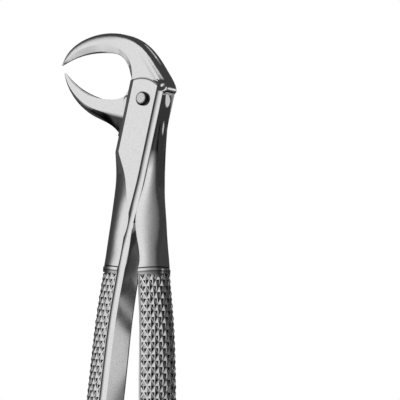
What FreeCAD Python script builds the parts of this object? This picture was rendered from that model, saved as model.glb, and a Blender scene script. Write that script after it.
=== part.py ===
# Extraction forceps for lower molars, English pattern, with a box joint.
# Frame: the tool lies on its side.  +Z runs along the joint pin, -Y towards the
# handles' ends, -X towards the beaks' tips.  The origin is where the pin's axis
# leaves the rear face of the joint.  Lengths are millimetres, angles degrees.
import FreeCAD, Part
import Sketcher
import math
import os

SIZES = {
    # box joint
    "jointThickness": 10.5,
    "slotWidth": 5.0,
    "tongueClearance": 0.05,
    "webStep": 0.06,
    "sideClearance": 0.25,
    "boxLeftReach": 7.28,
    "boxRightReach": 4.74,
    "boxLeftLean": 9.5,
    "boxRightLean": 9.65,
    "boxTopY": 8.0,
    "boxEndY": -16.0,
    "cheekRelief": 0.05,
    "boxRounding": 2.66,
    "boxRoundingDrop": 2.4,
    "boxCrease": 2.96,
    "edgeBreak": 0.75,
    "edgeBreakDrop": 1.2,
    "shoulderX": -0.9,
    "shoulderY": -3.0,
    "shoulderRadius": 10.7,
    "shoulderRightAngle": 45.0,
    "shoulderLeftAngle": 130.0,
    "shoulderSweep": 120.0,
    "roofRadius": 5.6,
    "tongueRadius": 5.3,
    # joint pin
    "pinRadius": 1.7,
    "pinRunningGap": 0.05,
    "pinHeadRadius": 2.15,
    "pinHeadWall": 0.5,
    "pinHeadRounding": 0.5,
    "pinHeadHeight": 1.2,
    # beaks
    "throatX": -12.85,
    "throatY": 6.8,
    "throatRadius": 6.85,
    "upperBladeRadius": 28.0,
    "upperBladeAngle": 75.0,
    "upperRootAngle": 8.0,
    "upperTipAngle": 170.2,
    "upperRootHalf": 4.75,
    "upperRootX": -4.9,
    "upperRootY": 2.5,
    "upperRootDepth": 10.2,
    "upperRootEdge": 1.0,
    "upperBeakDepth": 5.882,
    "upperRootFlare": 3.599,
    "upperTipDepth": 0.3,
    "lowerBladeRadius": 23.4,
    "lowerBladeAngle": 273.5,
    "lowerTipAngle": 176.3,
    "lowerRootAngle": 273.0,
    "lowerBeakDepth": 5.7,
    "lowerRootFlare": 2.49,
    "lowerTipDepth": 0.5,
    "webRootDepth": 14.55,
    "webRootAngle": 324.0,
    "webEndAngle": 334.0,
    "webLean": 265.2,
    "webEdge": 0.3,
    "webHollow": 0.9,
    "webLapAngle": 10.0,
    "webLap": 1.5,
    "webFootAcross": 0.2,
    "webFootBelow": 0.3,
    "lowerBeakHalf": 3.8,
    "tipHalf": 0.35,
    "beakEdge": 0.12,
    "bladeKeenness": 0.6,
    # slot through the box and the tongue in it
    "roofRightY": 3.0,
    "roofLeftY": 4.4,
    "slotReach": 8.0,
    "slotFootX": -6.2,
    "slotFootY": -13.6,
    "slotEndSlack": 0.8,
    "tongueSlack": 0.5,
    "tongueLeftAngle": 130.0,
    "tongueRightAngle": -5.0,
    "waistX": 4.5,
    "waistY": -12.0,
    "waistRadius": 88.0,
    "neckTopY": -6.5,
    "neckTopRounding": 0.5,
    "neckTopOuter": 1.4,
    "tongueCrotchHalf": 4.9,
    # handles
    "crotchY": -34.0,
    "crotchX": -0.95,
    "crotchGap": 0.2,
    "centredY": -100.0,
    "neckY": -20.0,
    "neckReach": 10.39,
    "neckRounding": 4.64,
    "neckOuter": 1.4,
    "neckCrease": 2.9,
    "flatEndY": -24.5,
    "flatEndReach": 10.57,
    "flatEndRounding": 6.32,
    "flatEndOuter": 0.6,
    "flatEndCrease": 2.4,
    "forkY": -29.0,
    "forkReach": 10.9,
    "forkRounding": 7.4,
    "forkOuter": 0.4,
    "forkCrease": 1.84,
    "collarY": -50.7,
    "collarSetback": 0.3,
    "collarGap": 4.8,
    "collarHalf": 6.0,
    "collarLength": 1.4,
    "collarHeight": 0.22,
    "collarLean": 3.9,
    "bendY": -67.0,
    "bendGap": 8.7,
    "bendHalf": 6.45,
    "palmY": -84.0,
    "palmGap": 11.0,
    "gripHalf": 6.75,
    "bellyY": -105.0,
    "bellyGap": 13.6,
    "heelY": -125.0,
    "heelGap": 14.6,
    "handleEndY": -143.0,
    "handleEndGap": 14.4,
    "handleEndHalf": 6.3,
    "handleEndDepth": 8.2,
    "endRounding": 2.4,
    "gripDepth": 9.2,
    "boxCrotchDepth": 10.3,
    "boxCollarDepth": 9.65,
    "tongueCrotchDepth": 8.15,
    "tongueCollarDepth": 7.7,
    "rimRise": 2.1,
    "rimStrip": 0.6,
    "rimBevel": 0.6,
    "rimBevelRise": 0.6,
    "rimLand": 0.15,
    "backFlat": 0.3,
}

doc = FreeCAD.newDocument("ExtractionForceps")
sheet = doc.addObject("Spreadsheet::Sheet", "Sizes")
for row, (alias, number) in enumerate(SIZES.items(), start=1):
    sheet.set(f"A{row}", alias)
    sheet.set(f"B{row}", str(number))
    sheet.setAlias(f"B{row}", alias)
doc.recompute()


class Size:
    """A number worked out from the sheet, with the expression that ties it there."""

    def __init__(self, value, text):
        self.value, self.text = value, text

    def __add__(self, other):
        other = as_size(other)
        return Size(self.value + other.value, f"({self.text} + {other.text})")

    def __sub__(self, other):
        other = as_size(other)
        return Size(self.value - other.value, f"({self.text} - {other.text})")

    def __mul__(self, other):
        other = as_size(other)
        return Size(self.value * other.value, f"({self.text} * {other.text})")

    def __truediv__(self, other):
        other = as_size(other)
        return Size(self.value / other.value, f"({self.text} / {other.text})")

    def __pow__(self, other):
        other = as_size(other)
        return Size(self.value ** other.value, f"({self.text} ^ {other.text})")

    def __neg__(self):
        return Size(-self.value, f"(-1 * {self.text})")

    def __radd__(self, other):
        return as_size(other) + self

    def __rsub__(self, other):
        return as_size(other) - self

    def __rmul__(self, other):
        return as_size(other) * self


def as_size(number):
    return number if isinstance(number, Size) else Size(float(number), f"{number:.6g}")


def cell(alias):
    return Size(float(SIZES[alias]), f"Sizes.{alias}")


def sine(angle):
    return Size(math.sin(math.radians(angle.value)), f"sin({angle.text} * 1 deg)")


def cosine(angle):
    return Size(math.cos(math.radians(angle.value)), f"cos({angle.text} * 1 deg)")


def root(number):
    return Size(math.sqrt(number.value), f"sqrt({number.text})")


def origin_plane(body, role):
    return next(f for f in body.Origin.OriginFeatures if f.Role == role)


def vector(x, y):
    return FreeCAD.Vector(x, y, 0)


def add_dimension(sketch, kind, *parts):
    """A driving dimension whose last part is a Size; it follows the sheet."""
    size = parts[-1]
    index = sketch.addConstraint(Sketcher.Constraint(kind, *parts[:-1], size.value))
    sketch.setExpression(f"Constraints[{index}]", size.text)


def new_sketch(body, name, plane):
    sketch = body.newObject("Sketcher::SketchObject", name)
    sketch.AttachmentSupport = [(origin_plane(body, plane), "")]
    sketch.MapMode = "FlatFace"
    sketch.Visibility = False
    return sketch


def section_sketch(body, name, station):
    """A cross-section that stands on the mid-plane of the joint.

    A station has x, y (plan position of the inner side), angle (plan angle in which
    the section is deep), depth, half (thickness), inner (half width of the flat inner
    side), strip and stripHalf (depth and half height of the narrow face beside it),
    bevel (depth of the bevel that follows), rounding (depth of the rounded outer
    side), outer (half width of the flat left on the outer side) and crease (1 where
    the rounding leaves the broad face smoothly, more where it leaves it at an edge).
    """
    sketch = new_sketch(body, name, "XZ_Plane")
    turn = FreeCAD.Rotation(FreeCAD.Vector(0, 1, 0), station["angle"].value)
    sketch.AttachmentOffset = FreeCAD.Placement(FreeCAD.Vector(), turn)
    sketch.setExpression("AttachmentOffset.Base.x", station["x"].text)
    sketch.setExpression("AttachmentOffset.Base.y", halfJoint.text)
    sketch.setExpression("AttachmentOffset.Base.z", (-station["y"]).text)
    sketch.setExpression("AttachmentOffset.Rotation.Angle", station["angle"].text)

    depth, half, inner, outer = (station[key] for key in ("depth", "half", "inner", "outer"))
    strip, bevel, rounding = (station[key] for key in ("strip", "bevel", "rounding"))
    drop = half - outer
    radius = (rounding ** 2 + drop ** 2) / (drop * 2) * station["crease"]
    slope = math.atan2(drop.value, rounding.value)
    swing = math.asin(math.hypot(rounding.value, drop.value) / (2 * radius.value))
    arc_ends = math.pi / 2 - slope - swing, math.pi / 2 - slope + swing
    centre = (depth.value - radius.value * math.cos(arc_ends[0]),
              outer.value - radius.value * math.sin(arc_ends[0]))
    front = Part.Circle(vector(*centre), FreeCAD.Vector(0, 0, 1), radius.value)
    rear = Part.Circle(vector(centre[0], -centre[1]), FreeCAD.Vector(0, 0, 1), radius.value)
    steps = [(as_size(0), inner), (strip, station["stripHalf"]), (strip + bevel, half),
             (depth - rounding, half)]
    front_side = [vector(u.value, v.value) for u, v in steps]
    rear_side = [vector(u.value, -v.value) for u, v in steps]
    outer_ends = vector(depth.value, outer.value), vector(depth.value, -outer.value)
    sketch.addGeometry(
        [Part.LineSegment(rear_side[0], front_side[0])]
        + [Part.LineSegment(*pair) for pair in zip(front_side, front_side[1:])]
        + [Part.ArcOfCircle(front, *arc_ends), Part.LineSegment(*outer_ends),
           Part.ArcOfCircle(rear, -arc_ends[1], -arc_ends[0])]
        + [Part.LineSegment(*pair) for pair in zip(rear_side[::-1], rear_side[-2::-1])],
        False)
    # 0 inner side, 1-3 front strip, bevel and land, 4 rounding, 5 outer side,
    # 6 rounding, 7-9 rear land, bevel and strip
    joins = ((0, 2, 1, 1), (1, 2, 2, 1), (2, 2, 3, 1), (3, 2, 4, 2), (4, 1, 5, 1),
             (5, 2, 6, 2), (6, 1, 7, 1), (7, 2, 8, 1), (8, 2, 9, 1), (9, 2, 0, 1))
    sketch.addConstraint([Sketcher.Constraint("Coincident", *join) for join in joins])
    sketch.addConstraint([
        Sketcher.Constraint("Equal", 4, 6),
        Sketcher.Constraint("Symmetric", 0, 1, 0, 2, -1, 1),
        Sketcher.Constraint("Vertical", 0),
        Sketcher.Constraint("Horizontal", 3),
        Sketcher.Constraint("Symmetric", 1, 2, 8, 2, -1),
        Sketcher.Constraint("Symmetric", 2, 2, 7, 2, -1),
        Sketcher.Constraint("Symmetric", 3, 2, 7, 1, -1),
        Sketcher.Constraint("Symmetric", 5, 1, 5, 2, -1),
    ])
    add_dimension(sketch, "DistanceY", 0, 1, 0, 2, inner * 2)
    for edge, (u, v) in enumerate(steps[1:3], start=1):
        add_dimension(sketch, "DistanceX", -1, 1, edge, 2, u)
        add_dimension(sketch, "DistanceY", -1, 1, edge, 2, v)
    add_dimension(sketch, "DistanceX", -1, 1, 3, 2, depth - rounding)
    add_dimension(sketch, "DistanceX", -1, 1, 5, 1, depth)
    add_dimension(sketch, "DistanceY", 5, 2, 5, 1, outer * 2)
    add_dimension(sketch, "Radius", 4, radius)
    return sketch


def outline_sketch(body, name, outline, plane="XY_Plane"):
    """A closed outline.  A corner is (x, y); where the edge to the next corner is an
    arc it is (x, y, centre x, centre y, radius, turn), with turn 1 counter-clockwise
    and -1 clockwise."""
    sketch = new_sketch(body, name, plane)
    ends = []
    for number, corner in enumerate(outline):
        after = outline[(number + 1) % len(outline)]
        start, end = (vector(point[0].value, point[1].value) for point in (corner, after))
        ends.append((2, 1) if corner[2:] and corner[5] < 0 else (1, 2))
        if not corner[2:]:
            sketch.addGeometry(Part.LineSegment(start, end), False)
            continue
        centre = vector(corner[2].value, corner[3].value)
        angles = [math.atan2(point.y - centre.y, point.x - centre.x) for point in (start, end)]
        if corner[5] < 0:
            angles.reverse()
        circle = Part.Circle(centre, FreeCAD.Vector(0, 0, 1), corner[4].value)
        sketch.addGeometry(Part.ArcOfCircle(circle, *angles), False)
    for number, (_, end) in enumerate(ends):
        after = (number + 1) % len(ends)
        sketch.addConstraint(
            Sketcher.Constraint("Coincident", number, end, after, ends[after][0]))
    for number, corner in enumerate(outline):
        add_dimension(sketch, "DistanceX", -1, 1, number, ends[number][0], corner[0])
        add_dimension(sketch, "DistanceY", -1, 1, number, ends[number][0], corner[1])
        if corner[2:]:
            add_dimension(sketch, "Radius", number, corner[4])
    return sketch


def loft(body, name, stations, ruled=False):
    sketches = [section_sketch(body, f"{name}Section{number}", station)
                for number, station in enumerate(stations, start=1)]
    doc.recompute()
    feature = body.newObject("PartDesign::AdditiveLoft", name)
    feature.Profile = (sketches[0], [""])
    feature.Sections = [(sketch, [""]) for sketch in sketches[1:]]
    feature.Ruled = ruled
    doc.recompute()
    return feature


def pad(body, name, outline, floor, length):
    sketch = outline_sketch(body, f"{name}Outline", outline)
    sketch.setExpression("AttachmentOffset.Base.z", floor.text)
    feature = body.newObject("PartDesign::Pad", name)
    feature.Profile = sketch
    feature.setExpression("Length", length.text)
    doc.recompute()


def pocket(body, name, sketch, floor, length):
    sketch.setExpression("AttachmentOffset.Base.z", floor.text)
    feature = body.newObject("PartDesign::Pocket", name)
    feature.Profile = sketch
    feature.setExpression("Length", length.text)
    feature.Reversed = True
    doc.recompute()


def bore(body, radius):
    """A hole for the pin through the whole joint."""
    sketch = new_sketch(body, "PinBoreCircle", "XY_Plane")
    sketch.addGeometry(Part.Circle(vector(0, 0), FreeCAD.Vector(0, 0, 1), radius.value), False)
    sketch.addConstraint(Sketcher.Constraint("Coincident", 0, 3, -1, 1))
    add_dimension(sketch, "Radius", 0, radius)
    pocket(body, "PinBore", sketch, as_size(0), cell("jointThickness"))


# ---- thicknesses that both halves share ----
halfJoint = cell("jointThickness") / 2
halfSlot = cell("slotWidth") / 2
tongueHalf = halfSlot - cell("tongueClearance")
webHalf = tongueHalf - cell("webStep")

# ---- the box: its sides lean, so it narrows towards the handles ----
boxTop, boxEnd = cell("boxTopY"), cell("boxEndY")


def box_right(y):
    lean = cell("boxRightLean")
    return (cell("boxRightReach") + sine(lean) * y) / cosine(lean)


def box_left(y):
    lean = cell("boxLeftLean")
    return -(cell("boxLeftReach") - sine(lean) * y) / cosine(lean)


def box_station(y, depth, rounding, outer, crease):
    """The slot side of the box stays one plane down to the crotch."""
    edge = cell("edgeBreak")
    return {
        "x": box_right(y), "y": y, "angle": as_size(180), "depth": depth, "half": halfJoint,
        "inner": halfSlot, "strip": cell("cheekRelief"),
        "stripHalf": halfJoint - cell("edgeBreakDrop"),
        "bevel": edge, "rounding": rounding, "outer": outer, "crease": crease,
    }


def block_station(y):
    return box_station(y, box_right(y) - box_left(y), cell("boxRounding"),
                       halfJoint - cell("boxRoundingDrop"), cell("boxCrease"))


# ---- the beaks: the throat's side is two tangent arcs, the back follows their depth ----
throat = cell("throatX"), cell("throatY")


def polar(centre, radius, angle):
    return centre[0] + radius * cosine(angle), centre[1] + radius * sine(angle)


def throat_reach(blade, angle):
    """How far from the middle of the throat the blade's inner arc is met."""
    dx, dy = blade["middle"][0] - throat[0], blade["middle"][1] - throat[1]
    along = dx * cosine(angle) + dy * sine(angle)
    return along + root(along ** 2 - dx ** 2 - dy ** 2 + blade["radius"] ** 2)


def blade_arc(radius, angle):
    """The blade's inner arc leaves the throat's circle smoothly at this angle."""
    return {"middle": polar(throat, cell("throatRadius") - radius, angle), "radius": radius}


upperBlade = blade_arc(cell("upperBladeRadius"), cell("upperBladeAngle"))
lowerBlade = blade_arc(cell("lowerBladeRadius"), cell("lowerBladeAngle"))


def beak_station(place, angle, depth, half, inner, bevel, rounding, outer, crease):
    """A broad face that falls towards the tooth's side and rounds over at the back."""
    edge = cell("beakEdge")
    return {
        "x": place[0], "y": place[1], "angle": angle, "depth": depth, "half": half,
        "inner": inner, "strip": depth * 0.02, "stripHalf": inner + edge, "bevel": bevel,
        "rounding": rounding, "outer": outer, "crease": crease,
    }


def square_station(place, angle, depth, half, edge):
    return beak_station(place, angle, depth, half, half - edge, edge / 2, edge,
                        half - edge, as_size(1))


def taper(share, power, fullness):
    """Falls from 1 at the root to 0 at the tip, late when the power is high."""
    return (1 - share ** power) ** fullness


def upper_beak_station(share):
    """share runs from 0 at the box to 1 at the tip."""
    angle = cell("upperRootAngle") + (cell("upperTipAngle") - cell("upperRootAngle")) * share
    reach = cell("throatRadius")
    if angle.value > cell("upperBladeAngle").value:
        reach = throat_reach(upperBlade, angle)
    depth = (cell("upperTipDepth") + cell("upperBeakDepth") * taper(share, 12.9, 1.22)
             + cell("upperRootFlare") * (1 - share) ** 7.5)
    half = cell("tipHalf") + (cell("upperRootHalf") - cell("tipHalf")) * taper(share, 2, 1)
    edge = cell("beakEdge") + (cell("upperRootEdge") - cell("beakEdge")) * (1 - share) ** 5
    inner = (half - edge) * (1 - cell("bladeKeenness") * share ** 2)
    return beak_station(polar(throat, reach, angle), angle, depth, half, inner,
                        depth * (0.1 + 0.4 * share), depth * (0.3 + 0.1 * share),
                        half * 0.35, as_size(1.3))


def lower_beak_station(share):
    """Leaves the slot as thin as the tongue, swells, then tapers to the tip."""
    angle = cell("lowerRootAngle") + (cell("lowerTipAngle") - cell("lowerRootAngle")) * share
    reach = cell("throatRadius")
    if angle.value < cell("lowerBladeAngle").value:
        reach = throat_reach(lowerBlade, angle)
    depth = (cell("lowerTipDepth") + cell("lowerBeakDepth") * taper(share, 2.67, 0.94)
             + cell("lowerRootFlare") * (1 - share) ** 8.8)
    swell_share = 0.4
    if share < swell_share:
        rise = 1 - (1 - share / swell_share) ** 2
        half = webHalf + (cell("lowerBeakHalf") - webHalf) * rise
    else:
        fall = taper((share - swell_share) / (1 - swell_share), 2, 0.9)
        half = cell("tipHalf") + (cell("lowerBeakHalf") - cell("tipHalf")) * fall
    inner = (half - cell("beakEdge") * 2) * (1 - cell("bladeKeenness") * share ** 2)
    return beak_station(polar(throat, reach, angle), angle, depth, half, inner,
                        depth * (0.06 + 0.39 * share), depth * (0.42 - 0.06 * share),
                        half * (0.3 + 0.05 * share), as_size(1.9 - 0.5 * share))


def web_station(share):
    """The thin web between the tongue and the lower beak follows the throat.

    share runs from 0 beside the tongue to 1 where the beak begins to swell.
    """
    around = cell("webRootAngle") + (cell("lowerRootAngle") - cell("webRootAngle")) * share
    lean = cell("webLean") + (cell("lowerRootAngle") - cell("webLean")) * share
    beak_depth = cell("lowerTipDepth") + cell("lowerBeakDepth") + cell("lowerRootFlare")
    depth = cell("webRootDepth") + (beak_depth - cell("webRootDepth")) * share
    inner = webHalf - cell("webHollow") * (1 - share) - cell("beakEdge") * 2
    return beak_station(polar(throat, cell("throatRadius"), around), lean, depth, webHalf, inner,
                        depth * (0.1 - 0.04 * share), depth * 0.42, webHalf * 0.3, as_size(1.9))


# ---- the handles ----
def handle_station(side, name, depth, half):
    """side is -1 for the half with the box and 1 for the half with the tongue."""
    y = cell(f"{name}Y")
    lean = cell("crotchX") * (cell("centredY") - y) / (cell("centredY") - cell("crotchY"))
    if y.value < cell("centredY").value:
        lean = as_size(0)
    strip, bevel = cell("rimStrip"), cell("rimBevel")
    return {
        "x": lean + cell(f"{name}Gap") * (0.5 * side), "y": y,
        "angle": as_size(180 if side < 0 else 0.001), "depth": depth, "half": half,
        "inner": half - cell("rimRise"), "strip": strip, "stripHalf": half - cell("rimBevelRise"),
        "bevel": bevel, "rounding": depth - strip - bevel - cell("rimLand"),
        "outer": cell("backFlat"), "crease": as_size(1),
    }


def blend(weights, stations):
    """A station whose every size is the weighted sum of the given ones."""
    return {
        key: sum((station[key] * weight for weight, station in zip(weights, stations)), as_size(0))
        for key in stations[0]
    }


def with_halfway(stations):
    """Adds a station between each two, on the smooth curve through the neighbours."""
    result = [stations[0], blend((0.375, 0.75, -0.125), stations[:3])]
    for number in range(1, len(stations) - 2):
        result += [stations[number],
                   blend((-0.0625, 0.5625, 0.5625, -0.0625), stations[number - 1:number + 3])]
    result += [stations[-2], blend((-0.125, 0.75, 0.375), stations[-3:]), stations[-1]]
    return result


def handle_stations(side, crotch_half, crotch_depth, collar_depth):
    grip_depth, grip_half = cell("gripDepth"), cell("gripHalf")
    return with_halfway([
        handle_station(side, "crotch", crotch_depth, crotch_half),
        handle_station(side, "collar", collar_depth, cell("collarHalf")),
        handle_station(side, "bend", (collar_depth + grip_depth) / 2, cell("bendHalf")),
        handle_station(side, "palm", grip_depth, grip_half),
        handle_station(side, "belly", grip_depth, grip_half),
        handle_station(side, "heel", (grip_depth * 3 + cell("handleEndDepth")) / 4, grip_half),
        handle_station(side, "handleEnd", cell("handleEndDepth"), cell("handleEndHalf")),
    ])


def end_station(station, side, turn):
    """The handle's end rounds over: turn is the angle reached on the rounding."""
    radius = cell("endRounding")
    inset = radius * (1 - math.cos(math.radians(turn)))
    smaller = dict(station)
    smaller["x"] = station["x"] + inset * side
    smaller["y"] = station["y"] - radius * math.sin(math.radians(turn))
    smaller["depth"] = station["depth"] - inset * 2
    smaller["rounding"] = station["rounding"] - inset * 2
    for key in ("half", "inner", "stripHalf"):
        smaller[key] = station[key] - inset
    return smaller


def collar_station(station, side, along):
    """The plain band where the grip begins stands a little proud."""
    height = cell("collarHeight")
    relief = cell("cheekRelief")
    rim_edge = station["strip"] + station["bevel"]
    wider = dict(station)
    wider["angle"] = station["angle"] + cell("collarLean") * side
    wider["x"] = station["x"] + rim_edge * side
    wider["y"] = station["y"] - along
    wider["depth"] = station["depth"] - rim_edge + height
    wider["strip"] = wider["bevel"] = relief
    wider["inner"] = station["half"]
    wider["stripHalf"] = station["half"] + height / 2
    wider["half"] = station["half"] + height
    wider["rounding"] = station["rounding"] + height
    return wider


def add_handle(body, side, shank, stations):
    """The shank runs to the collar, the grip from there to the rounded end."""
    collar_y = cell("collarY").value
    above = [station for station in stations if station["y"].value >= collar_y]
    below = [station for station in stations if station["y"].value <= collar_y]
    loft(body, "Shank", shank + above)
    loft(body, "Grip", below)
    loft(body, "End", [end_station(stations[-1], side, turn) for turn in (0, 30, 60, 80, 90)])
    start = cell("collarSetback")
    loft(body, "Collar", [collar_station(below[0], side, along)
                          for along in (start, start + cell("collarLength"))], ruled=True)


# ---- the half with the box, the upper beak and the left handle ----
box_half = doc.addObject("PartDesign::Body", "box_half")
box_half.Label = "box_half"
loft(box_half, "Box", [block_station(boxTop), block_station(boxEnd)], ruled=True)

shoulder = cell("shoulderX"), as_size(0)
ball = cell("shoulderRadius")
right_end = polar(shoulder, ball, cell("shoulderRightAngle"))
left_end = polar(shoulder, ball, cell("shoulderLeftAngle"))
above_box = boxTop - cell("shoulderY") + halfJoint
crown_sketch = outline_sketch(box_half, "ShoulderOutline", [
    right_end + shoulder + (ball, 1),
    left_end,
    (left_end[0], above_box),
    (right_end[0], above_box),
])
crown_sketch.setExpression("AttachmentOffset.Base.y", cell("shoulderY").text)
crown_sketch.setExpression("AttachmentOffset.Base.z", halfJoint.text)
crown = box_half.newObject("PartDesign::Groove", "Shoulder")
crown.Profile = crown_sketch
crown.ReferenceAxis = (crown_sketch, ["H_Axis"])
crown.setExpression("Angle", cell("shoulderSweep").text)
crown.Midplane = True
doc.recompute()

upperRoot = cell("upperRootX"), cell("upperRootY")
loft(box_half, "Beak", [square_station(upperRoot, as_size(0.001), cell("upperRootDepth"),
                                       cell("upperRootHalf"), cell("upperRootEdge"))]
     + [upper_beak_station(share) for share in (0, 0.13, 0.26, 0.39, 0.52, 0.65, 0.78, 0.88, 0.95, 1)])

box_shank = [block_station(boxEnd)]
box_handle = handle_stations(-1, halfJoint, cell("boxCrotchDepth"), cell("boxCollarDepth"))
for name in ("neck", "flatEnd", "fork"):
    y = cell(f"{name}Y")
    box_shank.append(box_station(y, box_right(y) + cell(f"{name}Reach"), cell(f"{name}Rounding"),
                                 cell(f"{name}Outer"), cell(f"{name}Crease")))
box_shank[-1] = blend((0.5, 0.5), (box_shank[-1], dict(
    box_shank[-1], strip=cell("rimStrip"), bevel=cell("rimBevel"))))
add_handle(box_half, -1, box_shank, box_handle)

roof = cell("roofRadius")
slotFloor = halfJoint - halfSlot
pin_axis = as_size(0), as_size(0)
slot_side = cell("slotReach")
pocket(box_half, "Slot", outline_sketch(box_half, "SlotOutline", [
    (slot_side, cell("roofRightY")),
    (root(roof ** 2 - cell("roofRightY") ** 2), cell("roofRightY")) + pin_axis + (roof, 1),
    (-root(roof ** 2 - cell("roofLeftY") ** 2), cell("roofLeftY")),
    (slot_side * -2, cell("roofLeftY")),
    (slot_side * -2, cell("slotFootY")),
    (cell("slotFootX"), cell("slotFootY")),
    (cell("crotchX") - cell("slotEndSlack"), cell("crotchY")),
    (slot_side, cell("crotchY")),
]), slotFloor, cell("slotWidth"))
bore(box_half, cell("pinRadius"))

# ---- the half with the tongue, the lower beak and the right handle ----
tongue_half = doc.addObject("PartDesign::Body", "tongue_half")
tongue_half.Label = "tongue_half"
webEdge = cell("webEdge")
loft(tongue_half, "Beak", [web_station(share) for share in (0, 0.3, 0.6)]
     + [lower_beak_station(share) for share in (0, 0.08, 0.18, 0.3, 0.44, 0.58, 0.72, 0.85, 0.94, 1)])

rim = cell("tongueRadius")
webStart = cell("webRootAngle") - cell("webLapAngle")
webThroat = cell("throatRadius") + cell("webStep")
webHeel = polar(polar(throat, cell("throatRadius"), cell("webRootAngle")),
                cell("webRootDepth"), cell("webLean"))
webFoot = webHeel[0] + cell("webFootAcross"), webHeel[1] - cell("webFootBelow")
webLap = cell("webLap")


def tongue_outer(y):
    """The right edge of the tongue and of the shank above the crotch is one large arc."""
    radius, middle = cell("waistRadius"), cell("waistY")
    return cell("waistX") + radius - root(radius ** 2 - (y - middle) ** 2)


waistY = cell("waistY")
neckTop = cell("neckTopY")
pad(tongue_half, "Tongue", [
    polar(throat, webThroat + webLap, webStart),
    polar(throat, webThroat, webStart) + throat + (webThroat, 1),
    polar(throat, webThroat, cell("webEndAngle")),
    polar(pin_axis, rim, cell("tongueLeftAngle")) + pin_axis + (rim, -1),
    polar(pin_axis, rim, cell("tongueRightAngle")),
    (tongue_outer(neckTop), neckTop),
    (tongue_outer(waistY) - webEdge, waistY),
    (cell("crotchX") + cell("slotEndSlack") * 2, cell("crotchY")),
    (cell("crotchX") + cell("slotEndSlack") / 2, cell("crotchY") + cell("slotEndSlack")),
    (cell("slotFootX") + cell("slotEndSlack"), cell("slotFootY") + cell("tongueSlack")),
    webFoot,
    (webFoot[0] - webLap, webFoot[1] + webLap * 0.7),
], slotFloor + cell("tongueClearance"), tongueHalf * 2)


def tongue_shank_station(share):
    """share runs from 0 beside the tongue to 1 at the crotch."""
    y = neckTop + (cell("crotchY") - neckTop) * share
    x = box_right(y) + cell("sideClearance")
    depth = tongue_outer(y) - x
    half = webHalf + (cell("tongueCrotchHalf") - webHalf) * share ** 1.35
    strip = cell("rimStrip") * share
    crotch_rounding = cell("tongueCrotchDepth") - cell("rimStrip") - cell("rimBevel") - cell("rimLand")
    neck_rounding = cell("neckTopRounding")
    inner = webHalf - webEdge
    return {
        "x": x, "y": y, "angle": as_size(0.001), "depth": depth, "half": half, "inner": inner,
        "strip": strip + cell("cheekRelief"), "stripHalf": inner + (half - inner) * 0.7,
        "bevel": strip + cell("cheekRelief"),
        "rounding": neck_rounding + (crotch_rounding - neck_rounding) * share ** 2.2,
        "outer": cell("neckTopOuter") + (cell("backFlat") - cell("neckTopOuter")) * share,
        "crease": as_size(1),
    }


tongue_handle = handle_stations(1, cell("tongueCrotchHalf"), cell("tongueCrotchDepth"),
                                cell("tongueCollarDepth"))
add_handle(tongue_half, 1, [tongue_shank_station(share) for share in (0, 0.25, 0.5, 0.75)], tongue_handle)
bore(tongue_half, cell("pinRadius") + cell("pinRunningGap"))

# ---- the joint pin: riveted flush at the rear, with a raised head in front ----
joint_rivet = doc.addObject("PartDesign::Body", "joint_rivet")
joint_rivet.Label = "joint_rivet"
pin, head, axis = cell("pinRadius"), cell("pinHeadRadius"), as_size(0)
face = cell("jointThickness")
wall, top = face + cell("pinHeadWall"), face + cell("pinHeadHeight")
edge = cell("pinHeadRounding")
crown = top - wall
flat = head - edge
crown_radius = (flat ** 2 + crown ** 2 - edge ** 2) / ((crown - edge) * 2)
crown_middle = top - crown_radius
join = crown_radius / (crown_radius - edge)
profile = outline_sketch(joint_rivet, "PinProfile", [
    (axis, axis),
    (pin, axis),
    (pin, face),
    (head, face),
    (head, wall, flat, wall, edge, 1),
    (flat * join, crown_middle + (wall - crown_middle) * join, axis, crown_middle, crown_radius, 1),
    (axis, top),
], "XZ_Plane")
turned = joint_rivet.newObject("PartDesign::Revolution", "Turned")
turned.Profile = profile
turned.ReferenceAxis = (profile, ["V_Axis"])
turned.Angle = 360
doc.recompute()

for thing in doc.Objects:
    if "Invalid" in thing.State or "Error" in thing.State:
        raise RuntimeError(f"{thing.Name} failed: {thing.State}")
os.makedirs("parts", exist_ok=True)
for piece in (box_half, tongue_half, joint_rivet):
    if piece.Shape.isNull() or not piece.Shape.isValid() or len(piece.Shape.Solids) != 1:
        raise RuntimeError(f"{piece.Label} has no single valid solid")
    piece.Shape.exportStep(f"parts/{piece.Label}.step")
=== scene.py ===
import math
import bmesh
import bpy
from mathutils import Matrix, Vector
from mathutils.bvhtree import BVHTree


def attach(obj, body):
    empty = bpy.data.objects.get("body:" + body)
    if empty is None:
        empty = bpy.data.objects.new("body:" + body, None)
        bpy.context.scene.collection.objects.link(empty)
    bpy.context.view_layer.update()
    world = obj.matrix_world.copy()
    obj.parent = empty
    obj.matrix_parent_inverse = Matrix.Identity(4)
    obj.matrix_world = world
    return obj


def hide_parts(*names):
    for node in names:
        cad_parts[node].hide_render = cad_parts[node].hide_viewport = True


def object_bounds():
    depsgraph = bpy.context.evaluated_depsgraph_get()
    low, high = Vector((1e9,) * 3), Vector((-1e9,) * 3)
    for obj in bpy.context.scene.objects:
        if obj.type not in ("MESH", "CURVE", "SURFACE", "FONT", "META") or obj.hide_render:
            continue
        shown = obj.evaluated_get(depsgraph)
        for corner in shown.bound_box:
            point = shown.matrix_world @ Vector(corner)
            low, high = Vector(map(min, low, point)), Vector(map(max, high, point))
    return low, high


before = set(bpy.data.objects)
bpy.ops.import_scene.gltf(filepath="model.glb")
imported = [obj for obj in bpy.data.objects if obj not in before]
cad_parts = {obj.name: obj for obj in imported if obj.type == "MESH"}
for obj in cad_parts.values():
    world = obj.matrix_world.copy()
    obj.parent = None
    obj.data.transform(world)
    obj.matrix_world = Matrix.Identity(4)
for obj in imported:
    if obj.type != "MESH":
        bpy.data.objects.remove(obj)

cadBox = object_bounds()
millimetre = 0.001
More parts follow.
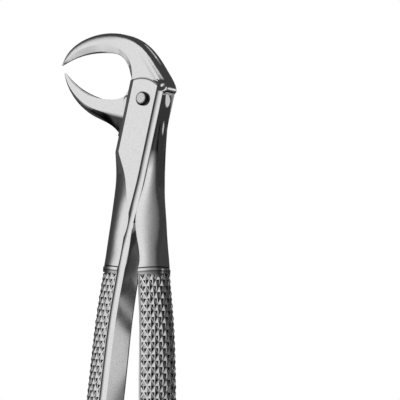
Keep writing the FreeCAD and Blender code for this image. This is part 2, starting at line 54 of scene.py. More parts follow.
scene = bpy.context.scene
scene.view_settings.view_transform = "Standard"
bpy.ops.object.select_all(action="DESELECT")
print("frame loaded:", ", ".join(sorted(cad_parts)))


def toLinear(hexColour):  # sRGB hex to the linear values that a socket takes
    parts = [int(hexColour[i:i + 2], 16) / 255 for i in (1, 3, 5)]
    return [p / 12.92 if p <= 0.04045 else ((p + 0.055) / 1.055) ** 2.4 for p in parts] + [1.0]


def addNode(tree, kind, settings=None, links=None):  # sockets by name or number, properties by name
    node = tree.nodes.new(kind)
    for key, value in (settings or {}).items():
        if isinstance(key, int) or key in node.inputs:
            node.inputs[key].default_value = value
        else:
            setattr(node, key, value)
    for key, source in (links or {}).items():
        tree.links.new(source, node.inputs[key])
    return node


def feed(tree, node, key, value):  # a socket is linked, a plain value is set
    if hasattr(value, "links"):
        tree.links.new(value, node.inputs[key])
    else:
        node.inputs[key].default_value = value


def newMaterial(name):
    material = bpy.data.materials.new(name)
    material.use_nodes = True
    tree = material.node_tree
    tree.nodes.clear()
    return material, tree


# camera: a long lens, a little to the right of the pin's line
camera = {
    "azimuth": 32.0,       # from the pin's axis towards the right, degrees
    "elevation": -4.0,     # towards the handles
    "roll": 3.9,
    "lens": 500.0,
    "spanAcross": 120.0,   # mm seen across the frame at the joint
    "aimAcross": 14.31,    # mm from the pin to the middle of the frame
    "aimDown": 29.82,
    "jointMiddle": 5.25,
    "reach": 4,            # how far the camera sees, in its own distances from the tool
}


def setCamera(c):
    azimuth, elevation, roll = (math.radians(c[k]) for k in ("azimuth", "elevation", "roll"))
    towards = Vector((math.sin(azimuth) * math.cos(elevation), math.sin(elevation),
                      math.cos(azimuth) * math.cos(elevation)))
    level = Vector((math.cos(azimuth), 0, -math.sin(azimuth)))
    upright = towards.cross(level)
    right = level * math.cos(roll) + upright * math.sin(roll)
    up = towards.cross(right)
    aim = (Vector((0, 0, c["jointMiddle"])) + right * c["aimAcross"] - up * c["aimDown"]) * millimetre
    data = bpy.data.cameras.new("viewCamera")
    data.lens = c["lens"]
    distance = c["spanAcross"] * millimetre * c["lens"] / data.sensor_width
    data.clip_end = distance * c["reach"]
    eye = bpy.data.objects.new("viewCamera", data)
    scene.collection.objects.link(eye)
    turn = Matrix((right, up, towards)).transposed().to_4x4()
    eye.matrix_world = Matrix.Translation(aim + towards * distance) @ turn
    scene.camera = eye
    return aim, towards


aim, towards = setCamera(camera)
print("camera set")

# stage: white paper far below the tool, and the light and dark of a studio for the metal to mirror
stage = {
    "floorSize": 40.0,
    "floorDrop": 3.0,                # metres below the tool, so no shadow falls in the frame
    "floorTone": "#565656",          # the paper's unlit part, as the metal sees it
    "overhead": ((-180, 0.08), (-95, 0.08), (-88, 0.09), (-82, 0.15), (-76, 0.28), (-70, 0.44),
                 (-61, 0.78), (-50, 0.95), (-12, 0.95), (0, 0.84), (15, 0.62), (30, 0.42), (45, 0.29),
                 (60, 0.20), (70, 0.14), (78, 0.055), (180, 0.05)),   # by angle round the tool's length, degrees
    "lowFront": ((-90, 0.0), (-36, 0.04), (-24, 1.0), (90, 1.0)),     # by angle towards the beaks
    "windows": (   # smaller lights, by the same two angles: one at the handles' side, two past the beaks
        {"round": ((-14, 0.0), (0, 1.0), (48, 1.0), (64, 0.0)),
         "along": ((-60, 0.0), (-50, 1.0), (-21, 1.0), (-15, 0.0)), "strength": 1.0},
        {"round": ((-75, 0.0), (-40, 1.0), (110, 1.0), (135, 0.0)),
         "along": ((50, 0.0), (62, 1.0), (90, 1.0)), "strength": 0.95},
        {"round": ((-60, 0.0), (-40, 1.0), (42, 1.0), (66, 0.0)),
         "along": ((26, 0.0), (38, 1.0), (90, 1.0)), "strength": 0.95}),
    "behind": {"radius": 0.30, "edge": 0.15},    # the paper that stands behind the tool, as the metal sees it
    "sideLight": {"from": 1.2, "fade": 0.2, "at": -0.62, "slope": 0.10, "edge": 0.03, "strength": 1.0},
    # window light on the paper, by place in metres
    "glow": {"across": ((1.2, 0.0), (1.4, 1.0), (2.4, 1.0), (2.8, 0.0)),
             "along": ((-0.284, 0.0), (-0.275, 0.66), (-0.248, 0.66), (-0.236, 0.0), (-0.190, 0.0),
                       (-0.160, 0.88), (0.01, 0.88), (0.04, 0.0))},
}


def profile(tree, value, stops):  # brightness along a value, from pairs in that value's own units
    low, high = stops[0][0], stops[-1][0]
    share = addNode(tree, "ShaderNodeMapRange", {"From Min": low, "From Max": high, "clamp": True},
                    {"Value": value})
    ramp = addNode(tree, "ShaderNodeValToRGB", {}, {0: share.outputs["Result"]})
    colours = ramp.color_ramp.elements
    while len(colours) > 1:
        colours.remove(colours[-1])
    colours[0].position, colours[0].color = 0.0, (*[stops[0][1]] * 3, 1)
    for place, bright in stops[1:]:
        colours.new((place - low) / (high - low)).color = (*[bright] * 3, 1)
    return ramp.outputs["Color"]


def calculate(tree, operation, first, second):  # either side is a socket or a plain number
    node = addNode(tree, "ShaderNodeMath", {"operation": operation})
    feed(tree, node, 0, first)
    feed(tree, node, 1, second)
    return node.outputs[0]


def crossed(tree, first, second):  # two profiles laid across each other, each a value with its stops
    return calculate(tree, "MULTIPLY", profile(tree, *first), profile(tree, *second))


def whitePaper(s, height):  # matt paper, white behind the tool and lit in patches that only the metal sees
    material, tree = newMaterial("matt white backdrop paper")
    place = addNode(tree, "ShaderNodeNewGeometry").outputs["Position"]
    parts = addNode(tree, "ShaderNodeSeparateXYZ", {}, {0: place})
    x, y = parts.outputs["X"], parts.outputs["Y"]
    behind = aim - towards * ((aim.z - height) / towards.z)
    away = addNode(tree, "ShaderNodeVectorMath", {"operation": "DISTANCE", 1: behind},
                   {0: place}).outputs["Value"]
    near, edge = s["behind"]["radius"], s["behind"]["edge"]
    patch = profile(tree, away, ((0.0, 1.0), (near, 1.0), (near + edge, 0.0)))
    light = s["sideLight"]
    line = calculate(tree, "SUBTRACT", calculate(tree, "SUBTRACT", y, light["at"]),
                     calculate(tree, "MULTIPLY", x, light["slope"]))
    side = crossed(tree, (line, ((-light["edge"], light["strength"]), (light["edge"], 0.0))),
                   (x, ((light["from"] - light["fade"], 0.0), (light["from"] + light["fade"], 1.0))))
    glow = crossed(tree, (x, s["glow"]["across"]), (y, s["glow"]["along"]))
    ray = addNode(tree, "ShaderNodeLightPath")
    shiny = calculate(tree, "MAXIMUM", ray.outputs["Is Glossy Ray"], ray.outputs["Is Transmission Ray"])
    white = calculate(tree, "MAXIMUM", ray.outputs["Is Camera Ray"], calculate(tree, "MULTIPLY", shiny, patch))
    body = addNode(tree, "ShaderNodeBsdfDiffuse", {"Color": toLinear(s["floorTone"])})
    glowing = addNode(tree, "ShaderNodeEmission", {"Color": (1, 1, 1, 1)},
                      {"Strength": calculate(tree, "MAXIMUM", side, glow)})
    lit = addNode(tree, "ShaderNodeAddShader", {}, {0: body.outputs[0], 1: glowing.outputs[0]})
    paper = addNode(tree, "ShaderNodeEmission", {"Color": (1, 1, 1, 1), "Strength": 1.0})
    mix = addNode(tree, "ShaderNodeMixShader", {}, {0: white, 1: lit.outputs[0], 2: paper.outputs[0]})
    addNode(tree, "ShaderNodeOutputMaterial", {}, {"Surface": mix.outputs[0]})
    return material


def buildStage(s):
    height = cadBox[0][2] - s["floorDrop"]
    bpy.ops.mesh.primitive_plane_add(size=s["floorSize"], location=(0, 0, height))
    floor = bpy.context.object
    floor.name = "backdropPaper"
    floor.data.materials.append(whitePaper(s, height))
    world = bpy.data.worlds.new("softStudio")
    scene.world = world
    world.use_nodes = True
    tree = world.node_tree
    tree.nodes.clear()
    parts = addNode(tree, "ShaderNodeSeparateXYZ", {}, {0: addNode(tree, "ShaderNodeTexCoord").outputs["Generated"]})
    degrees = 180 / math.pi
    turn = calculate(tree, "MULTIPLY", calculate(tree, "ARCTAN2", parts.outputs["X"], parts.outputs["Z"]), degrees)
    along = calculate(tree, "MULTIPLY", calculate(tree, "ARCSINE", parts.outputs["Y"], 0.0), degrees)
    light = crossed(tree, (turn, s["overhead"]), (along, s["lowFront"]))
    for window in s["windows"]:
        shape = crossed(tree, (turn, window["round"]), (along, window["along"]))
        light = calculate(tree, "MAXIMUM", light, calculate(tree, "MULTIPLY", shape, window["strength"]))
    seen = addNode(tree, "ShaderNodeLightPath").outputs["Is Camera Ray"]
    studio = addNode(tree, "ShaderNodeBackground", {"Color": (1, 1, 1, 1)},
                     {"Strength": calculate(tree, "MAXIMUM", light, seen)})
    addNode(tree, "ShaderNodeOutputWorld", {}, {"Surface": studio.outputs[0]})


buildStage(stage)
print("stage built")


# finishes: one steel throughout, and each surface was worked in its own way
# Grain and haze are given as spots to the mm and detail. The grain is coarser than real scratches, so that it shows.
noiseMiddle = (0.3, 0.7)   # where most of a noise's values lie
steel = {
    # the satin's dark is painted shade, for the marked places
    "satin": {"name": "stainless steel, satin ground", "colour": "#e6e6e6", "worn": "#d8d8d8",
              "roughness": 0.13, "grain": (3.2, 2.0), "haze": (0.25, 3.0), "hazeRange": (-0.02, 0.03),
              "dark": "#444444", "inward": ((0.15, 0.0), (0.35, 1.0))},   # how far an inner side faces the beaks
    "mirror": {"name": "stainless steel, mirror polished", "colour": "#cfcfcf", "inner": "#b4b4b4",
               "roughness": 0.07, "grain": (3.0, 2.0), "haze": (1 / 9, 3.0), "hazeRange": (-0.02, 0.03)},
    # the rim's dark is painted shade along its corners
    "edge": {"name": "stainless steel, stoned and polished rim", "dark": "#3c3c3c", "colour": "#e4e4e4",
             "worn": "#d4d4d4",
             "crestLow": 10.0, "crestRise": 2.5, "footLow": 7.5,   # the rim's two corners, by height along it, mm
             "crest": ((-138, 11.7), (-133, 11.85), (-126, 11.98), (-90, 12.02), (-82, 11.98), (-74, 11.86),
                       (-64, 11.62), (-52.6, 11.32), (-47.8, 11.26), (-46, 11.17), (-41.9, 10.87),
                       (-38.5, 10.65), (-35, 10.5), (0, 10.5)),
             "foot": ((-60, 9.24), (-27, 7.75), (0, 7.75)),
             "shadeLineDepth": ((-45, 0.45), (-33, 0.8), (0, 0.8)),   # the upper painted shade line is wider beside the joint
             "upperShadeLine": ((-1.0, 1.0), (0.55, 1.0), (1.0, 0.45), (1.6, 0.0), (2.0, 0.0)),
             "lowerShadeLine": ((-0.3, 0.0), (-0.2, 0.8), (0.18, 0.8), (0.34, 0.0), (0.6, 0.0))},
    "facet": {"name": "stainless steel, polished tongue side", "turned": (0.459, -0.292, 0.838),
              "spots": ({"middle": (0, 0.2, 4.9), "scale": (0, 0.42, 0.66), "soft": 0.78},
                        {"middle": (0, -8.3, 5.3), "scale": (0, 0.42, 2.0), "soft": 0.6})},
    # the grip's dark tone is painted shade on the points' flanks
    "cut": {"name": "stainless steel, file cut grip", "ridge": "#e2e2e2", "shadeTone": "#2e2e2e", "roughness": 0.22,
            "grain": (1.5, 2.0), "uneven": (-0.03, 0.03),
            "shadeFromRidge": ((0.0, 0.0), (0.08, 0.0), (0.20, 1.0))},   # painted shade from a point's ridge out to its sides
    # the pin's ring colour is painted shade round its crown, and random stain in its grain
    "pin": {"name": "stainless steel pin, turned and burnished", "colour": "#dcdcdc", "ring": "#202020",
            "roughness": 0.10, "grain": (2.5, 2.0), "stain": 0.35,
            "crown": 1.28, "rim": 1.75, "offset": (-0.22, 0.16, 0.0)},   # mm, the clean crown, set off up and to the left, so the painted shade ring round it is wider on the lower right
    "collar": {"dark": "#3c3c3c",   # painted shade of a turned groove and a softer painted shade line below it, by mm from the groove
               "shadeBands": ((-2.3, 0.0), (-2.2, 0.45), (-1.5, 0.4), (-1.35, 0.75), (-1.05, 0.75), (-0.9, 0.0),
                         (-0.26, 0.0), (-0.15, 1.0), (0.12, 1.0), (0.22, 0.0))},
}


def noise(tree, where, perMillimetre, detail):  # soft mottling, by its size on the real part
    return addNode(tree, "ShaderNodeTexNoise", {"Scale": perMillimetre / millimetre, "Detail": detail},
                   {"Vector": where}).outputs["Fac"]


def spread(tree, value, low, high):  # noise's middle part opened out to a range
    return addNode(tree, "ShaderNodeMapRange", {"From Min": noiseMiddle[0], "From Max": noiseMiddle[1],
                                                "To Min": low, "To Max": high, "clamp": True},
                   {"Value": value}).outputs["Result"]


def blend(tree, share, first, second):  # colours, as hex or as a socket
    node = addNode(tree, "ShaderNodeMix", {"data_type": "RGBA"}, {0: share})
    for key, colour in ((6, first), (7, second)):
        feed(tree, node, key, toLinear(colour) if isinstance(colour, str) else colour)
    return node.outputs[2]


def grained(tree, where, grain, first, second, most=1.0):  # two tones of a metal, mixed by its grain
    return blend(tree, spread(tree, noise(tree, where, *grain), 0.0, most), first, second)


def hazed(tree, where, s):  # roughness that wanders a little over the surface
    return calculate(tree, "ADD", spread(tree, noise(tree, where, *s["haze"]), *s["hazeRange"]), s["roughness"])


def inMillimetres(tree, value):
    return calculate(tree, "DIVIDE", value, millimetre)


def flatDistance(tree, where, centre):  # mm from a point in the piece's own plane
    flat = addNode(tree, "ShaderNodeVectorMath", {"operation": "MULTIPLY", 1: (1, 1, 0)}, {0: where}).outputs[0]
    away = addNode(tree, "ShaderNodeVectorMath", {"operation": "DISTANCE", 1: [v * millimetre for v in centre]},
                   {0: flat}).outputs["Value"]
    return inMillimetres(tree, away)


def metal(tree, colour, roughness, normal=None):
    shader = addNode(tree, "ShaderNodeBsdfPrincipled", {"Metallic": 1.0}, {"Base Color": colour})
    if normal:
        tree.links.new(normal, shader.inputs["Normal"])
    feed(tree, shader, "Roughness", roughness)
    addNode(tree, "ShaderNodeOutputMaterial", {}, {"Surface": shader.outputs[0]})


def within(tree, where, area):  # how far inside an area of the piece a point is, by mm along each axis
    slanted = addNode(tree, "ShaderNodeVectorMath", {"operation": "DOT_PRODUCT", 1: (area["slant"], 1, 0)},
                      {0: where}).outputs["Value"]
    parts = addNode(tree, "ShaderNodeSeparateXYZ", {}, {0: where})
    share = 1.0
    for value, key in ((parts.outputs["X"], "x"), (slanted, "y"), (parts.outputs["Z"], "z")):
        if key in area:
            share = calculate(tree, "MULTIPLY", profile(tree, inMillimetres(tree, value), area[key]), share)
    if "ring" in area:  # an arc about a point
        away = flatDistance(tree, where, area["centre"])
        share = calculate(tree, "MULTIPLY", profile(tree, away, area["ring"]), share)
    return share


def turnedNormal(tree, share, direction):  # the surface's own normal, or one in the piece's own axes
    own = addNode(tree, "ShaderNodeNewGeometry").outputs["Normal"]
    other = addNode(tree, "ShaderNodeVectorTransform", {"vector_type": "NORMAL", "convert_from": "OBJECT",
                                                        "convert_to": "WORLD", 0: direction}).outputs[0]
    mixed = addNode(tree, "ShaderNodeMix", {"data_type": "VECTOR"}, {0: share, 4: own, 5: other}).outputs[1]
    return addNode(tree, "ShaderNodeVectorMath", {"operation": "NORMALIZE"}, {0: mixed}).outputs[0]


# ground on a belt: fine grain dulls the light a little, with painted shade along the collar's groove and in marked
# places
def satinSteel(s, collar, line, m):
    material, tree = newMaterial(s["name"])
    where = addNode(tree, "ShaderNodeTexCoord").outputs["Object"]
    slope, height = line
    along = addNode(tree, "ShaderNodeVectorMath", {"operation": "DOT_PRODUCT", 1: (-slope, 1, 0)},
                    {0: where}).outputs["Value"]
    below = calculate(tree, "SUBTRACT", inMillimetres(tree, along), height)
    colour = grained(tree, where, s["grain"], s["colour"], s["worn"])
    # painted shade of the collar's groove, and a softer painted line below it
    colour = blend(tree, profile(tree, below, collar["shadeBands"]), colour, collar["dark"])
    # painted shade in the marked places
    for area in m["shadeMarks"]:
        colour = blend(tree, within(tree, where, area), colour, s["dark"])
    turned = within(tree, where, m["lit"])
    if "inside" in m:
        own = addNode(tree, "ShaderNodeNewGeometry").outputs["Normal"]
        facing = addNode(tree, "ShaderNodeVectorTransform", {"vector_type": "NORMAL", "convert_from": "WORLD",
                                                             "convert_to": "OBJECT"}, {0: own}).outputs[0]
        upward = addNode(tree, "ShaderNodeSeparateXYZ", {}, {0: facing}).outputs["Y"]
        inside = calculate(tree, "MULTIPLY", profile(tree, upward, s["inward"]), within(tree, where, m["inside"]))
        turned = calculate(tree, "MAXIMUM", turned, inside)
    metal(tree, colour, hazed(tree, where, s), turnedNormal(tree, turned, m["turned"]))
    return material


def mirrorSteel(s):  # buffed on a wheel: clear reflections, with faint haze where the wheel has dwelt
    material, tree = newMaterial(s["name"])
    where = addNode(tree, "ShaderNodeTexCoord").outputs["Object"]
    metal(tree, grained(tree, where, s["grain"], s["colour"], s["inner"]), hazed(tree, where, s))
    return material


def cornerHeight(tree, along, corner, low, rise):  # a height in mm, from a share of its rise that a ramp can hold
    share = profile(tree, along, [(y, (z - low) / rise) for y, z in corner])
    return calculate(tree, "ADD", calculate(tree, "MULTIPLY", share, rise), low)


def edgeSteel(s, m):  # stoned, then polished: a bright rim, with a fine painted shade line along both its corners
    material, tree = newMaterial(s["name"])
    where = addNode(tree, "ShaderNodeTexCoord").outputs["Object"]
    parts = addNode(tree, "ShaderNodeSeparateXYZ", {}, {0: where})
    along, height = (inMillimetres(tree, parts.outputs[axis]) for axis in ("Y", "Z"))
    crest, foot = (cornerHeight(tree, along, s[corner], s[low], s["crestRise"])
                   for corner, low in (("crest", "crestLow"), ("foot", "footLow")))
    underCrest = calculate(tree, "SUBTRACT", crest, height)
    overFoot = calculate(tree, "SUBTRACT", height, foot)
    share = calculate(tree, "DIVIDE", underCrest, profile(tree, along, s["shadeLineDepth"]))
    # painted shade lines along the rim's upper and lower corners
    line = calculate(tree, "MAXIMUM", profile(tree, share, s["upperShadeLine"]),
                     profile(tree, overFoot, s["lowerShadeLine"]))
    clean = grained(tree, where, m["grain"], s["colour"], s["worn"])
    metal(tree, blend(tree, line, clean, s["dark"]), m["roughness"])
    return material


def facetSteel(s, m):  # the polished side of the tongue, with small rounded places that turn towards the light
    material, tree = newMaterial(s["name"])
    where = addNode(tree, "ShaderNodeTexCoord").outputs["Object"]
    lit = None
    for spot in s["spots"]:
        apart = addNode(tree, "ShaderNodeVectorMath",
                        {"operation": "SUBTRACT", 1: [v * millimetre for v in spot["middle"]]}, {0: where}).outputs[0]
        scaled = addNode(tree, "ShaderNodeVectorMath",
                         {"operation": "MULTIPLY", 1: [v / millimetre for v in spot["scale"]]}, {0: apart}).outputs[0]
        power = addNode(tree, "ShaderNodeVectorMath", {"operation": "LENGTH"}, {0: scaled}).outputs["Value"]
        shape = profile(tree, power, ((0.0, 1.0), (spot["soft"], 1.0), (1.0, 0.0)))
        lit = shape if lit is None else calculate(tree, "MAXIMUM", lit, shape)
    colour = grained(tree, where, m["grain"], m["colour"], m["inner"])
    metal(tree, colour, m["roughness"], turnedNormal(tree, lit, s["turned"]))
    return material


def cutSteel(s):  # cut with a file: bright ridges and grooves, with painted shade on each point's lower flanks and a little on the upper ones
    material, tree = newMaterial(s["name"])
    flank = addNode(tree, "ShaderNodeAttribute", {"attribute_name": "flank"}).outputs["Fac"]
    sideways = addNode(tree, "ShaderNodeAttribute", {"attribute_name": "sideways"}).outputs["Fac"]
    where = addNode(tree, "ShaderNodeTexCoord").outputs["Object"]
    uneven = calculate(tree, "ADD", sideways, spread(tree, noise(tree, where, *s["grain"]), *s["uneven"]))
    # painted shade on the points' lower flanks, away from the ridges
    shade = calculate(tree, "MULTIPLY", flank, profile(tree, uneven, s["shadeFromRidge"]))
    metal(tree, blend(tree, shade, s["ridge"], s["shadeTone"]), s["roughness"])
    return material


def pinSteel(s):  # turned and burnished: a clean crown, with a painted shade ring in the turn of its edge
    material, tree = newMaterial(s["name"])
    where = addNode(tree, "ShaderNodeTexCoord").outputs["Object"]
    away = flatDistance(tree, where, s["offset"])
    # painted shade ring round the clean crown, wider on the lower right away from the light; the same dark colour
    # also mottles the crown at random
    ring = profile(tree, away, ((0.0, 0.0), (s["crown"], 0.0), (s["rim"], 1.0)))
    clean = grained(tree, where, s["grain"], s["colour"], s["ring"], s["stain"])
    metal(tree, blend(tree, ring, clean, s["ring"]), s["roughness"])
    return material


mirror = mirrorSteel(steel["mirror"])
rim = edgeSteel(steel["edge"], steel["mirror"])
facet = facetSteel(steel["facet"], steel["mirror"])
cut = cutSteel(steel["cut"])
collars = {   # each groove's slant, and its height at the middle, mm
    "box_half": (-0.07, -50.95),
    "tongue_half": (0.139, -51.25),
}
marks = {   # places on each half, for painted shade and for normals turned to the light: how strong a mark is, by mm along the piece's axes, where y may be slanted
    "box_half": {
        "shadeMarks": ({"slant": 0, "centre": (-0.9, -2.69, 0),   # painted shade line along the shoulder's arc over the flat
                  "ring": ((8.5, 0.0), (8.72, 0.85), (8.95, 0.85), (9.15, 0.0)),
                  "y": ((3.6, 0.0), (4.2, 1.0), (8, 1.0)), "z": ((10.1, 0.0), (10.3, 1.0), (12, 1.0))},),
        "lit": {"slant": 0, "x": ((-6, 0.0), (-4.6, 1.0), (4, 1.0)),   # the ridge along the upper beak's back
                "y": ((8.8, 0.0), (10.5, 0.5), (13.5, 1.0), (16.6, 1.0), (17.3, 0.0)),
                "z": ((4.5, 0.0), (4.8, 1.0), (5.7, 1.0), (6.0, 0.0))},
        "turned": (0.459, -0.292, 0.838)},
    "tongue_half": {
        "shadeMarks": ({"slant": 0.183, "x": ((-17.5, 0.0), (-15.0, 1.0), (-6.9, 1.0), (-6.3, 0.0)),
                  "y": ((-30, 1.0), (-7.35, 1.0), (-6.3, 0.0), (-5, 0.0))},   # painted shade on the back under the lower beak
                 {"slant": 0, "x": ((2.0, 0.0), (2.6, 1.0), (8, 1.0)),        # painted shade on the tongue's side
                  "y": ((-21, 0.0), (-15, 1.0), (4, 1.0)), "z": ((5.4, 0.0), (5.6, 1.0), (12, 1.0))}),
        "lit": {"slant": 0.183, "x": ((-18, 0.0), (-14.5, 1.0), (-9.2, 1.0), (-8.7, 0.0)),   # the beak's broad side
                "y": ((-6.9, 0.0), (-6.2, 1.0), (0, 1.0), (2, 0.0)), "z": ((5.0, 0.0), (6.0, 1.0), (12, 1.0))},
        "inside": {"slant": 0, "x": ((-40, 1.0), (-9.2, 1.0), (-8.7, 0.0)),                  # and its inner side
                   "z": ((4.9, 0.0), (5.6, 1.0), (12, 1.0))},
        "turned": (0, 0, 1)},
}
satins = {name: satinSteel(steel["satin"], steel["collar"], line, marks[name]) for name, line in collars.items()}
for name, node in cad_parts.items():
    node.data.materials.clear()
    node.data.materials.append(satins.get(name) or pinSteel(steel["pin"]))
    for face in node.data.polygons:
        face.use_smooth = True
print("finishes made")

# grips: each handle's rounded back is cut into rows of small diamond points
grips = {
    "middle": 5.25,          # height of the handles' middle plane, mm
    "belowCollar": 2.0,      # where the cut pattern begins under the collar's groove
    "bottom": -138.6,        # and where it ends along the handle
    "rimDepth": 1.35,        # the plain rim beside the inner face
    "pocket": 0.7,           # the ground under the cut surface
    "depth": 0.4,            # from the points down to the grooves
    "across": 2.5,           # spacing of the diamonds round the handle and along it
    "along": 3.7,
    "groove": 0.14,          # half the width of a groove's flat bottom
    "upperShade": 0.1,       # painted shade on a point's upper and lower flanks
    "lowerShade": 1.0,
    "around": 22.0,          # length of the rounded back across the grip
    "castBack": 4,           # a cast for the inner face begins this far on its other side, mm
    "mergeWithin": 0.001,
    "slack": 0.02,
    "straight": 1e-6,        # a grid line leans less than this, metres
    "ends": (0.0001, 0.9999),
    "seam": 0.002,           # radians kept clear of the rim at the back's two ends
    # each half's body, the side its handle is on, and a place inside that handle in mm
    "halves": {"box_half": ("box_side", -1, -3.0), "tongue_half": ("tongue_side", 1, 3.0)},
}


def onlySelect(obj):
    bpy.ops.object.select_all(action="DESELECT")
    obj.select_set(True)
    bpy.context.view_layer.objects.active = obj


def mergedCopy(node, name, g):  # the node's mesh without doubled points, with its shading kept beside it
    copy = node.copy()
    copy.data = node.data.copy()
    copy.name = copy.data.name = name
    scene.collection.objects.link(copy)
    kept = copy.data.attributes.new("shading", "FLOAT_VECTOR", "CORNER")
    for corner, store in zip(copy.data.corner_normals, kept.data):
        store.vector = corner.vector
    onlySelect(copy)
    bpy.ops.object.mode_set(mode="EDIT")
    bpy.ops.mesh.select_all(action="SELECT")
    bpy.ops.mesh.remove_doubles(threshold=g["mergeWithin"] * millimetre)
    bpy.ops.object.mode_set(mode="OBJECT")
    return copy


def innerFace(tree, y, start, side, g):  # where the handle's flat inner face stands at this height
    origin = Vector((start - side * g["castBack"], y, g["middle"])) * millimetre
    return tree.ray_cast(origin, Vector((side, 0, 0)))[0].x


def sinkBack(piece, tree, side, start, line, g):  # the rounded back goes down to the ground under the points
    slope, top = line[0], line[1] - g["belowCollar"]
    onlySelect(piece)
    bpy.ops.object.mode_set(mode="EDIT")
    for level, lean in ((top, -slope), (g["bottom"], 0)):
        bpy.ops.mesh.select_all(action="SELECT")
        bpy.ops.mesh.bisect(plane_co=(0, level * millimetre, 0), plane_no=(lean, 1, 0))
    bpy.ops.mesh.select_all(action="DESELECT")
    bpy.ops.mesh.select_mode(type="FACE")
    mesh = bmesh.from_edit_mesh(piece.data)
    slack = g["slack"] * millimetre
    innerLevels = {}
    for face in mesh.faces:
        lowest = min(v.co.y for v in face.verts)
        highest = max(v.co.y - slope * v.co.x for v in face.verts)
        if lowest < g["bottom"] * millimetre - slack or highest > top * millimetre + slack:
            continue
        outward = True
        for v in face.verts:
            level = round(v.co.y, 5)  # to 0.01 mm
            if level not in innerLevels:
                innerLevels[level] = innerFace(tree, max(v.co.y / millimetre, g["bottom"]), start, side, g)
            if (v.co.x - innerLevels[level]) * side < g["rimDepth"] * millimetre - slack:
                outward = False
        face.select = outward
    bmesh.update_edit_mesh(piece.data)
    bpy.ops.mesh.extrude_region_shrink_fatten(
        TRANSFORM_OT_shrink_fatten={"value": -g["pocket"] * millimetre})
    bpy.ops.object.mode_set(mode="OBJECT")


edges = {  # narrow faces that are shaded as if rounded over, by the way their light comes in
    "faces": {   # limits on a face's normal (nx, ny, nz) and its middle in mm, the first that fits is taken
        "box_half": {
            "strip": {"nx": (0.8, math.inf), "nz": (-math.inf, 0.45), "z": (7.9, math.inf)},
            "band": {"nx": (-math.inf, -0.4), "nz": (0.1, math.inf), "y": (-22, 8), "z": (8.5, math.inf)},
            "bevel": {"ny": (-math.inf, -0.2), "nz": (0.25, math.inf), "y": (5, math.inf)},
            "inner": {"nx": (0.97, math.inf), "y": (-math.inf, -31.0)}},
        "tongue_half": {"flank": {"nx": (0.9, math.inf), "y": (-26, 4)}}},
    "chamfer": {"nz": (0.45, 0.9), "nx": 0.4, "below": 6.0},   # the box half's chamfer, mm
    "stripLook": (0.459, -0.292, 0.838),     # where the shading of each points
    "bandLook": (-0.464, 0.030, 0.885),
    "lineLook": (0.829, -0.038, 0.558),
    "stripLeans": 0.25,       # a strip face that leans more than this counts at any height
    "stripFoot": (7.95, -27.0, 0.045),   # the strip's lower edge: height, and how it climbs along the handle
    "lineBegins": 1.0,        # the chamfer is in the rim's finish from here down, mm
    "finishes": {"inner": 1, "strip": 2, "flank": 3},    # which of the half's materials these faces take
    "bevelLift": 0.3,         # how far the bevel above the flat is rounded over
    "innerTurn": -0.113,      # the inner face turns no further towards the handles than this
    "collarTurn": -0.14,      # except beside the collar, where it is ground hollow
    "hollowEnds": (-59.0, -55.0),
    "twist": 0.00167,         # hollow grinding of the inner face, per mm of height
    "flankTurn": 0.06,        # the tongue's side turns at least this much towards the beaks
    "sameFace": 0.7,          # corners that lean further from their face than this belong to another one
}


def shadedAs(nodeName, face):  # which of those faces this is
    normal, place = face.normal, face.center / millimetre
    values = {"nx": normal.x, "ny": normal.y, "nz": normal.z, "y": place.y, "z": place.z}
    height, begins, climb = edges["stripFoot"]
    onStrip = normal.z > edges["stripLeans"] or place.z > height + max(0, begins - place.y) * climb
    for look, limits in edges["faces"][nodeName].items():
        fits = all(low < values[key] < high for key, (low, high) in limits.items())
        if fits and (look != "strip" or onStrip):
            return look
    return ""


def onChamfer(nodeName, face, c):
    low, high = c["nz"]
    leans = low <= face.normal.z < high and face.normal.x > c["nx"]
    return nodeName == "box_half" and leans and face.center.y < c["below"] * millimetre


def keepShading(piece, nodeName, g):  # faces of the frame's own node keep its shading, new walls stand flat
    mesh = piece.data
    kept = mesh.attributes["shading"].data
    looks = [shadedAs(nodeName, face) for face in mesh.polygons]
    stripPoints = {v for face, look in zip(mesh.polygons, looks) if look == "strip" for v in face.vertices}
    strip, band, line = (Vector(edges[key]) for key in ("stripLook", "bandLook", "lineLook"))
    normals = []
    for face, look in zip(mesh.polygons, looks):
        face.use_smooth = True
        corners = [kept[i].vector.normalized() for i in face.loop_indices]
        if not all(corner.dot(face.normal) > edges["sameFace"] for corner in corners):
            corners = [face.normal.copy()] * len(corners)
        chamfer = onChamfer(nodeName, face, edges["chamfer"])
        lined = chamfer and face.center.y / millimetre < edges["lineBegins"]
        face.material_index = edges["finishes"].get("strip" if lined else look, 0)
        for vertex, corner in zip(face.vertices, corners):
            place = mesh.vertices[vertex].co / millimetre
            if look == "strip" or (chamfer and (lined or vertex in stripPoints)):
                corner = strip
            elif chamfer:
                corner = line
            elif look == "band":
                corner = band
            elif look == "bevel":
                corner = (corner + Vector((0, 0, edges["bevelLift"]))).normalized()
            elif look == "inner":
                low, high = edges["hollowEnds"]
                share = min(max((place.y - low) / (high - low), 0), 1)
                turn = max(corner.y, edges["innerTurn"]) * (1 - share) + edges["collarTurn"] * share
                turn += edges["twist"] * (place.z - g["middle"])
                corner = Vector((1, turn, corner.z)).normalized()
            elif look == "flank":
                corner = Vector((corner.x, max(corner.y, edges["flankTurn"]), corner.z)).normalized()
            normals.append(corner)
    mesh.attributes.remove(mesh.attributes["shading"])
    mesh.normals_split_custom_set(normals)


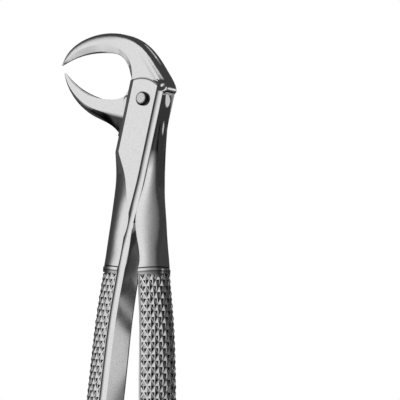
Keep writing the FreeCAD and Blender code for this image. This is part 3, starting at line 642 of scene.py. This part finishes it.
def markFlanks(mesh, g):  # which way each facet of a point faces, and how far round from its ridge
    flanks = mesh.attributes.new("flank", "FLOAT", "FACE").data
    sideways = mesh.attributes.new("sideways", "FLOAT", "POINT").data
    peak = g["depth"] * millimetre / 2
    for face in mesh.polygons:
        tips = [v for v in face.vertices if mesh.vertices[v].co.z > peak]
        if not tips:
            continue
        tip = mesh.vertices[tips[0]].co
        flanks[face.index].value = g["upperShade"] if face.center.y > tip.y else g["lowerShade"]
        for v in face.vertices:
            away = mesh.vertices[v].co - tip
            if abs(away.x) / g["across"] > abs(away.y) / g["along"]:
                sideways[v].value = 1.0


def diamondPoints(name, tree, side, start, line, g):
    slope, top = line[0], line[1] - g["belowCollar"]
    length = top - g["bottom"]
    bpy.ops.mesh.primitive_grid_add(x_subdivisions=round(g["around"] / g["across"]),
                                    y_subdivisions=round(length / g["along"]), size=1)
    patch = bpy.context.object
    patch.name = patch.data.name = name
    patch.scale = (g["around"] * millimetre, length * millimetre, 1)
    bpy.ops.object.transform_apply(location=False, rotation=False, scale=True)
    bpy.ops.object.mode_set(mode="EDIT")
    bpy.ops.mesh.select_all(action="SELECT")
    bpy.ops.mesh.poke()
    bpy.ops.mesh.select_all(action="DESELECT")
    bpy.ops.mesh.select_mode(type="EDGE")
    mesh = bmesh.from_edit_mesh(patch.data)
    for edge in mesh.edges:  # the grid's own lines go, so its diagonals are left as diamonds
        run = edge.verts[0].co - edge.verts[1].co
        edge.select = min(abs(run.x), abs(run.y)) < g["straight"] and not edge.is_boundary
    bmesh.update_edit_mesh(patch.data)
    bpy.ops.mesh.dissolve_edges(use_verts=False)
    bpy.ops.mesh.select_mode(type="FACE")
    bpy.ops.mesh.select_all(action="SELECT")
    bpy.ops.mesh.inset(use_individual=True, thickness=g["groove"] * millimetre)
    bpy.ops.mesh.poke(offset=g["depth"] * millimetre)
    bpy.ops.object.mode_set(mode="OBJECT")
    markFlanks(patch.data, g)
    first, last = g["ends"]
    limit = math.pi / 2 - g["seam"]
    for vertex in patch.data.vertices:  # the flat pattern is laid round the handle's back
        share = min(max(0.5 + vertex.co.y / millimetre / length, first), last)
        turn = min(max(vertex.co.x / (g["around"] * millimetre) * math.pi, -limit), limit)
        y = g["bottom"] + share * length
        for again in range(2):  # the second cast knows how far the slanted top has moved this place
            centre = Vector((innerFace(tree, y, start, side, g) + side * g["rimDepth"] * millimetre,
                             y * millimetre, g["middle"] * millimetre))
            hit, normal = tree.ray_cast(centre, Vector((side * math.cos(turn), 0, math.sin(turn))))[:2]
            y = g["bottom"] + share * (length + slope * hit.x / millimetre)
        vertex.co = hit - normal * (g["depth"] * millimetre - vertex.co.z)
    onlySelect(patch)
    bpy.ops.object.mode_set(mode="EDIT")
    bpy.ops.mesh.select_all(action="SELECT")
    bpy.ops.mesh.normals_make_consistent(inside=False)
    bpy.ops.object.mode_set(mode="OBJECT")
    return patch


for nodeName, (bodyName, side, start) in grips["halves"].items():
    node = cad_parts[nodeName]
    surface = BVHTree.FromObject(node, bpy.context.evaluated_depsgraph_get())
    half = mergedCopy(node, nodeName + "_body", grips)
    sinkBack(half, surface, side, start, collars[nodeName], grips)
    points = diamondPoints(nodeName + "_grip", surface, side, start, collars[nodeName], grips)
    points.data.materials.append(cut)
    for finish in (mirror, rim, facet):
        half.data.materials.append(finish)
    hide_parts(nodeName)
    for piece in (half, points):
        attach(piece, bodyName)
    keepShading(half, nodeName, grips)
    print("grip cut on", nodeName, len(points.data.polygons), "faces")
